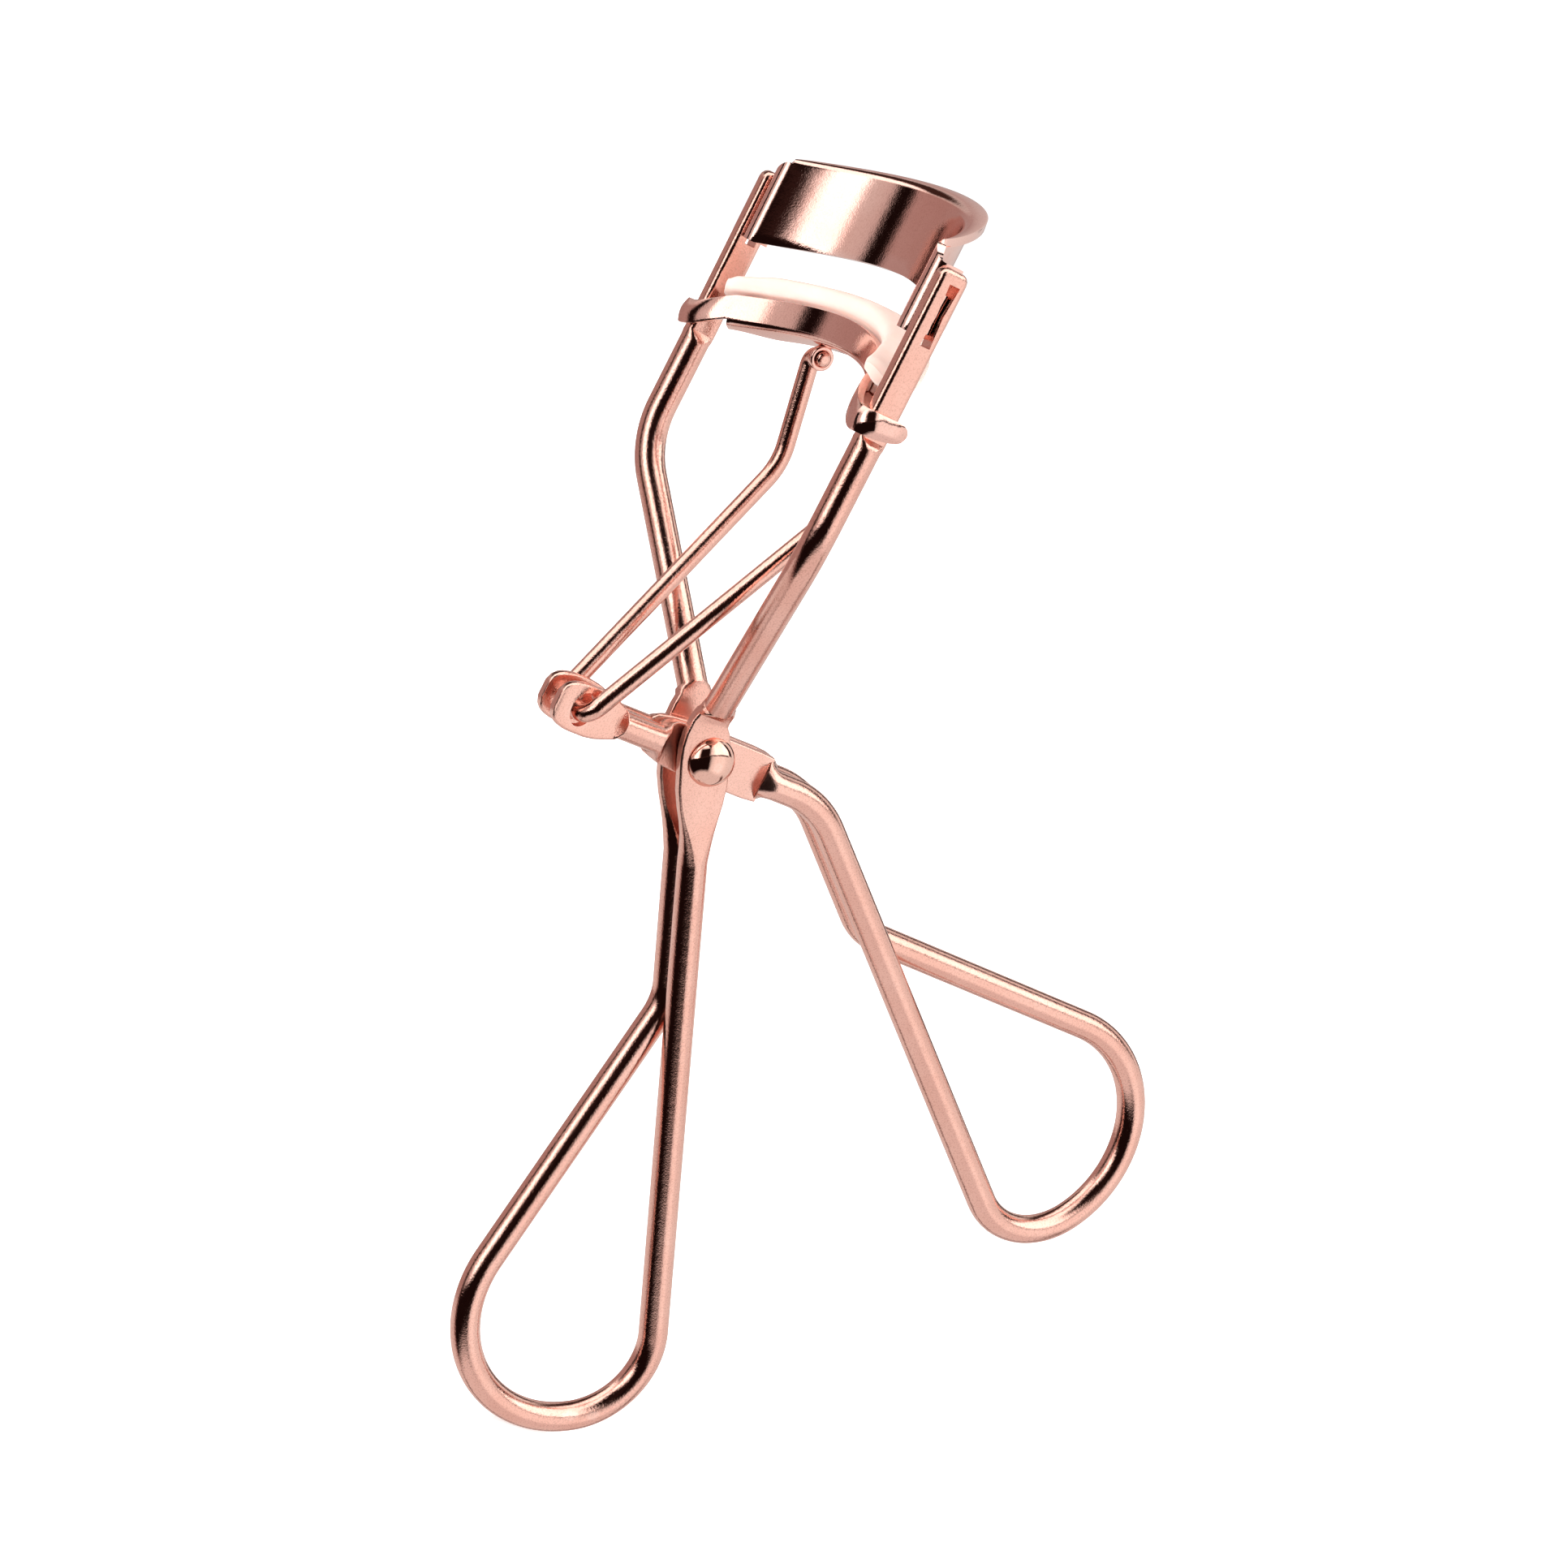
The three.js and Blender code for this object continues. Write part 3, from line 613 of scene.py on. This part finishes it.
def both_sides(rows):
    left = [[Vector((-p.x, p.y, p.z)) for p in row] for row in reversed(rows[1:])]
    return left + rows


upper_rows = [upper_row(*place) for place in upper_plan()]
upper_jaw = sheet("upper_jaw_fine", both_sides(upper_rows), UPPER_THICK)
rounded_edges(upper_jaw, 0.16, 3, 50)
finish_piece(upper_jaw, "frame", SHEET, 40)
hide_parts("upper_jaw")
TAB = waisted(0.3, 0.22, SLOT_LOW + TAB_SHORT, SLOT_HIGH - TAB_SHORT)
for side in (1, -1):
    tab = prism(f"upper_jaw_tab_{'pos' if side > 0 else 'neg'}", TAB, side * 15.7, side * 17.15)
    rounded_edges(tab, 0.08, 2)
    finish_piece(tab, "frame", SHEET)


# ---------- lower jaw ----------
def wall_top(x):
    return WALL_TOP - JAW_SAG * x * x


def wall_plan():
    """Places from the wall's middle to the collar's tip: x, y, top, height, bulge."""
    places = []
    for s in range(27):
        x = WALL_ARC_X * s / 26
        places.append((x, arc_y(WALL_R, WALL_APEX_Y, x), wall_top(x), WALL_H, 0.0))
    front = COLLAR_Y - COLLAR_R
    sweep_turn = math.asin(WALL_ARC_X / WALL_R)
    sweep_r = (RAIL_X - WALL_ARC_X) / math.sin(sweep_turn)
    meet = arc_y(WALL_R, WALL_APEX_Y, WALL_ARC_X) - front - sweep_r * (1 - math.cos(sweep_turn))
    for s in range(1, 13):
        t = s / 12
        angle = sweep_turn * (1 - t)
        x = RAIL_X - sweep_r * math.sin(angle)
        y = front + sweep_r * (1 - math.cos(angle)) + meet * (1 - t)
        top = lerp(wall_top(x), COLLAR_TOP, t * (0.5 + 0.5 * t))
        places.append((x, y, top, lerp(WALL_H, COLLAR_H, t), COLLAR_BULGE * t))
    for s in range(1, 13):
        angle = math.radians(7.5 * s)
        x = RAIL_X + COLLAR_R * math.sin(angle)
        y = COLLAR_Y - COLLAR_R * math.cos(angle)
        places.append((x, y, COLLAR_TOP, lerp(COLLAR_H, COLLAR_BACK_H, s / 12), COLLAR_BULGE))
    for back, lower, height in COLLAR_TIP:
        place = (RAIL_X + COLLAR_R, COLLAR_BACK - back, COLLAR_TOP - lower, height)
        places.append((*place, COLLAR_BULGE * min(1.0, back)))
    return places


def wall_row(before, place, after):
    """One upright row of the wall at a place, standing square to the line through its neighbours."""
    x, y, top, height, bulge = place
    run = Vector((after[0] - before[0], after[1] - before[1])).normalized()
    row = []
    for t in range(11):
        proud = bulge * math.sin(math.pi * t / 10)
        row.append(Vector((x + proud * run.y, y - proud * run.x, top - height * t / 10)))
    return row


places = wall_plan()
neighbours = zip(places[:1] + places, places, places[1:] + places[-1:])
wall_rows = [wall_row(*three) for three in neighbours]
wall = sheet("lower_jaw_wall", both_sides(wall_rows), WALL_THICK)
rounded_edges(wall, 0.28, 4, 50)


def trough_width(x):
    return TROUGH_WIDE - TROUGH_TAPER * smooth(TROUGH_TAPER_X, TROUGH_END_X, abs(x))


def trough_row(x):
    """One section of the channel, from the wall across its floor to its back edge."""
    y = arc_y(WALL_R, WALL_APEX_Y, x)
    ox, oy = x / WALL_R, (y - WALL_APEX_Y + WALL_R) / WALL_R
    width = trough_width(x)
    bend = TROUGH_BEND
    bed = WALL_TOP - WALL_H - bend + 0.08
    column = [(0.0, bed + bend + 0.25)]
    for s in range(7):
        angle = math.radians(15 * s)
        column.append((bend * (1 - math.cos(angle)), bed + bend * (1 - math.sin(angle))))
    for s in range(7):
        angle = math.radians(15 * s)
        column.append((width - bend * (1 - math.sin(angle)), bed + bend * (1 - math.cos(angle))))
    column.append((width, bed + bend + TROUGH_LIP))
    row = []
    for n, z in column:
        px = x + ox * n
        row.append(Vector((px, y + oy * n, z - JAW_SAG * px * px)))
    return row


trough_rows = [trough_row(TROUGH_END_X * s / 43) for s in range(-43, 44)]
trough = sheet("lower_jaw_trough", trough_rows, TROUGH_THICK)
rounded_edges(trough, 0.12, 2, 50)
for side in (1, -1):
    ring = oval(*PIN, LUG_OUTER, LUG_OUTER)
    lug = prism(f"lower_jaw_lug_{'pos' if side > 0 else 'neg'}", ring, side * LUG_X[0], side * LUG_X[1])
    cut(lug, prism("hole", oval(*PIN, LUG_HOLE, LUG_HOLE), side * 4, side * 7))
    rounded_edges(lug, 0.14, 3)
    finish_piece(lug, "lower_jaw_assembly", SHEET)
for piece in (wall, trough):
    finish_piece(piece, "lower_jaw_assembly", SHEET, 40)
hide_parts("lower_jaw")


# ---------- pad ----------
def pad_head(half, top, under):
    """Half of the head's outline: a soft dome, widest a little below its top."""
    head = []
    dome = (top - under - 0.1) * 0.62
    for s in range(15):
        angle = math.radians(88 - 98 * s / 14)
        c, q = math.cos(angle), math.sin(angle)
        n = half * math.copysign(abs(c) ** 0.62, c)
        head.append((n, top - dome + dome * math.copysign(abs(q) ** 0.75, q)))
    head.append((half * 0.93, under + 0.12))
    return head


def pad_stem(under, bare):
    """Half of the stem's outline at full width; it has shrunk away where bare is 1."""
    foot = lerp(STEM_FOOT, under - 0.06, bare)
    neck = min(under - 0.03, lerp(under - 0.3, under - 0.03, bare))
    return [(1.27, under), (1.09, neck), (1.05, lerp(foot, under, 0.4)), (1.0, foot + 0.02), (0.85, foot)]


def pad_ring(x):
    """One section of the pad: a head over a stem that fills the channel."""
    y = arc_y(PAD_R, PAD_APEX_Y, x)
    ox, oy = x / PAD_R, (y - PAD_APEX_Y + PAD_R) / PAD_R
    end = smooth(PAD_END_X - 3.6, PAD_END_X, abs(x))
    tip = smooth(PAD_END_X - 0.7, PAD_END_X, abs(x)) ** 2
    under = PAD_TOP - PAD_HEAD + 0.2 * tip
    head = pad_head(PAD_HALF - 0.25 * end - 0.3 * tip, PAD_TOP - 0.5 * end - 0.35 * tip, under)
    stem = pad_stem(under, smooth(STEM_END_X, STEM_GONE_X, abs(x)))
    slim = (trough_width(x) - PAD_SIDE_ROOM) / (TROUGH_WIDE - PAD_SIDE_ROOM)
    off_wall = math.hypot(x, y - WALL_APEX_Y + WALL_R) - WALL_R
    shift = trough_width(x) / 2 + 0.045 - off_wall
    right = head + [(shift + n * slim, z) for n, z in stem]
    left = [(-n, z) for n, z in head] + [(shift - n * slim, z) for n, z in stem]
    ring = []
    for n, z in right + left[::-1]:
        px = max(-PAD_CLIP_X, min(PAD_CLIP_X, x + ox * n))
        ring.append(Vector((px, y + oy * n, z - JAW_SAG * px * px)))
    return ring


cuts = [0.4 * i for i in range(34)] + [13.9, 14.2, 14.4, 14.55, 14.7, 14.8, 14.88, 14.95, PAD_END_X]
pad = skin("silicone_pad_soft", [pad_ring(x) for x in [-x for x in cuts[:0:-1]] + cuts])
finish_piece(pad, "lower_jaw_assembly", PAD, 60)
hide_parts("silicone_pad")


# ---------- link wire ----------
link_half = [
    key(4.42, *PIN, rod(0.22)),
    key(4.44, *PIN, rod(0.4)),
    key(4.5, *PIN, rod(0.55)),
    key(4.62, *PIN, rod(0.64)),
    key(5.55, *PIN, rod(0.66)),
    key(5.68, *PIN, rod(LINK_R)),
    key(6.9, *PIN, rod(LINK_R), 1.1),
    key(6.45, -2.04, 26.13, rod(LINK_R), 6),
    key(2.85, -13.9, -0.3, rod(LINK_R), 1.6),
]
link_wire = wire("link_wire_fine", link_half + mirrored(link_half), Vector((0, 0, 1)))
finish_piece(link_wire, "link", WIRE, 40)
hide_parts("link_wire")


# ---------- floor and light ----------
def paper(name):
    """Matt white paper that glows a little, so that it stays evenly white."""
    material = bpy.data.materials.new(name)
    material.use_nodes = True
    shader = material.node_tree.nodes["Principled BSDF"]
    shader.inputs["Base Color"].default_value = (0.95, 0.95, 0.95, 1)
    shader.inputs["Roughness"].default_value = 1.0
    shader.inputs["Specular IOR Level"].default_value = 0.0
    shader.inputs["Emission Color"].default_value = (1, 1, 1, 1)
    shader.inputs["Emission Strength"].default_value = 0.7
    return material


bpy.ops.mesh.primitive_plane_add(size=FLOOR_SIZE, location=(0, 0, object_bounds()[0].z - FLOOR_GAP))
floor = bpy.context.object
floor.name = "floor"
floor.data.materials.append(paper("white_paper"))
floor.visible_glossy = False

world = bpy.data.worlds.new("studio")
bpy.context.scene.world = world
world.use_nodes = True
tree = world.node_tree
tree.nodes.clear()


def world_node(kind, inputs=None, **settings):
    return add_node(tree, kind, inputs, settings)


direction = world_node("ShaderNodeTexCoord").outputs["Generated"]


def along(axis):
    inputs = {0: direction, 1: axis}
    return world_node("ShaderNodeVectorMath", inputs, operation="DOT_PRODUCT").outputs["Value"]


def blend(factor, first, second):
    inputs = {0: factor, 6: first, 7: second}
    return world_node("ShaderNodeMix", inputs, data_type="RGBA").outputs[2]


def arithmetic(operation, *values):
    return world_node("ShaderNodeMath", dict(enumerate(values)), operation=operation).outputs[0]


def rise(value, start, stop):
    return world_node("ShaderNodeMapRange", {0: value, 1: start, 2: stop}).outputs[0]


# Azimuth about the upright axis of the main view: 0 towards its camera, rising to its right.
ahead = along(BACK)
height = along(UP)
azimuth = arithmetic("ARCTAN2", along(RIGHT), ahead)
azimuth = arithmetic("MULTIPLY_ADD", azimuth, 1 / (2 * math.pi), 0.5)


def ramp(stops):
    """Brightness of the studio's walls against the azimuth in degrees, redder where it is dim."""
    node = world_node("ShaderNodeValToRGB", {"Fac": azimuth})
    elements = node.color_ramp.elements
    elements.remove(elements[1])
    for i, (degrees, value) in enumerate(stops):
        element = elements[0] if i == 0 else elements.new(degrees / 360 + 0.5)
        element.position = degrees / 360 + 0.5
        warm = smooth(0.0, 0.9, value)
        element.color = (value, value * lerp(0.45, 0.97, warm), value * lerp(0.4, 0.93, warm), 1)
    return node.outputs[0]


def with_line(room, level, half, soft, shade, absent):
    """The room with a thin dark line round it at one height, where absent is 0."""
    off = arithmetic("ABSOLUTE", arithmetic("SUBTRACT", height, level))
    off = arithmetic("MAXIMUM", rise(off, half, soft), absent)
    return blend(off, shade, room)


# Each stop is a place in degrees and the brightness there.
upper_walls = ramp([
    (-180, 0.45), (-150, 0.42), (-93, 0.46), (-88, 0.01), (-76, 0.01), (-72, 0.62), (-56, 0.75),
    (-51, 2.3), (-34, 2.3), (-26, 0.7), (-20, 0.015), (20, 0.015), (28, 1.0), (44, 2.0), (96, 2.0),
    (100, 0.02), (112, 0.02), (118, 0.95), (136, 0.9), (140, 0.03), (154, 0.03), (158, 0.8), (180, 0.42),
])
lower_walls = ramp([
    (-180, 0.68), (-130, 0.8), (-100, 0.7), (-90, 0.3), (-84, 0.01), (24, 0.01), (34, 0.85),
    (46, 1.1), (70, 1.18), (88, 0.95), (125, 0.85), (165, 0.72), (180, 0.68),
])
room = blend(rise(height, -0.03, 0.03), lower_walls, upper_walls)
room = with_line(room, -0.01, 0.025, 0.05, (0.03, 0.014, 0.012, 1), rise(ahead, 0.0, -0.15))
overhead = rise(height, 0.6, 0.75)
room = blend(overhead, room, (1.8, 1.75, 1.67, 1))
behind = arithmetic("MULTIPLY", rise(ahead, -0.1, -0.25), overhead)
room = blend(behind, room, (0.05, 0.025, 0.02, 1))
room = blend(rise(height, -0.7, -0.83), room, (0.83, 0.78, 0.75, 1))
room = with_line(room, -0.74, 0.02, 0.05, (0.1, 0.045, 0.035, 1), rise(ahead, -0.3, -0.1))
studio = world_node("ShaderNodeBackground", {"Color": room, "Strength": 1.0})
white = world_node("ShaderNodeBackground", {"Color": (1, 1, 1, 1), "Strength": 1.1})
seen = world_node("ShaderNodeLightPath").outputs["Is Camera Ray"]
shown = world_node("ShaderNodeMixShader", {0: seen, 1: studio.outputs[0], 2: white.outputs[0]})
output = world_node("ShaderNodeOutputWorld")
tree.links.new(shown.outputs[0], output.inputs[0])

for name, place, size, power in (
    ("softbox_high", UP * 0.6 - RIGHT * 0.3 + BACK * 0.5, 0.5, 1.2),
    ("softbox_front", BACK * 0.7 + RIGHT * 0.4 - UP * 0.1, 0.5, 0.7),
):
    lamp_data = bpy.data.lights.new(name, "AREA")
    lamp_data.shape = "SQUARE"
    lamp_data.size = size
    lamp_data.energy = power
    lamp = bpy.data.objects.new(name, lamp_data)
    bpy.context.scene.collection.objects.link(lamp)
    facing = place.to_track_quat("Z", "Y").to_matrix().to_4x4()
    lamp.matrix_world = Matrix.Translation(place) @ facing
    lamp.visible_glossy = False
bpy.context.scene.view_settings.view_transform = "Standard"
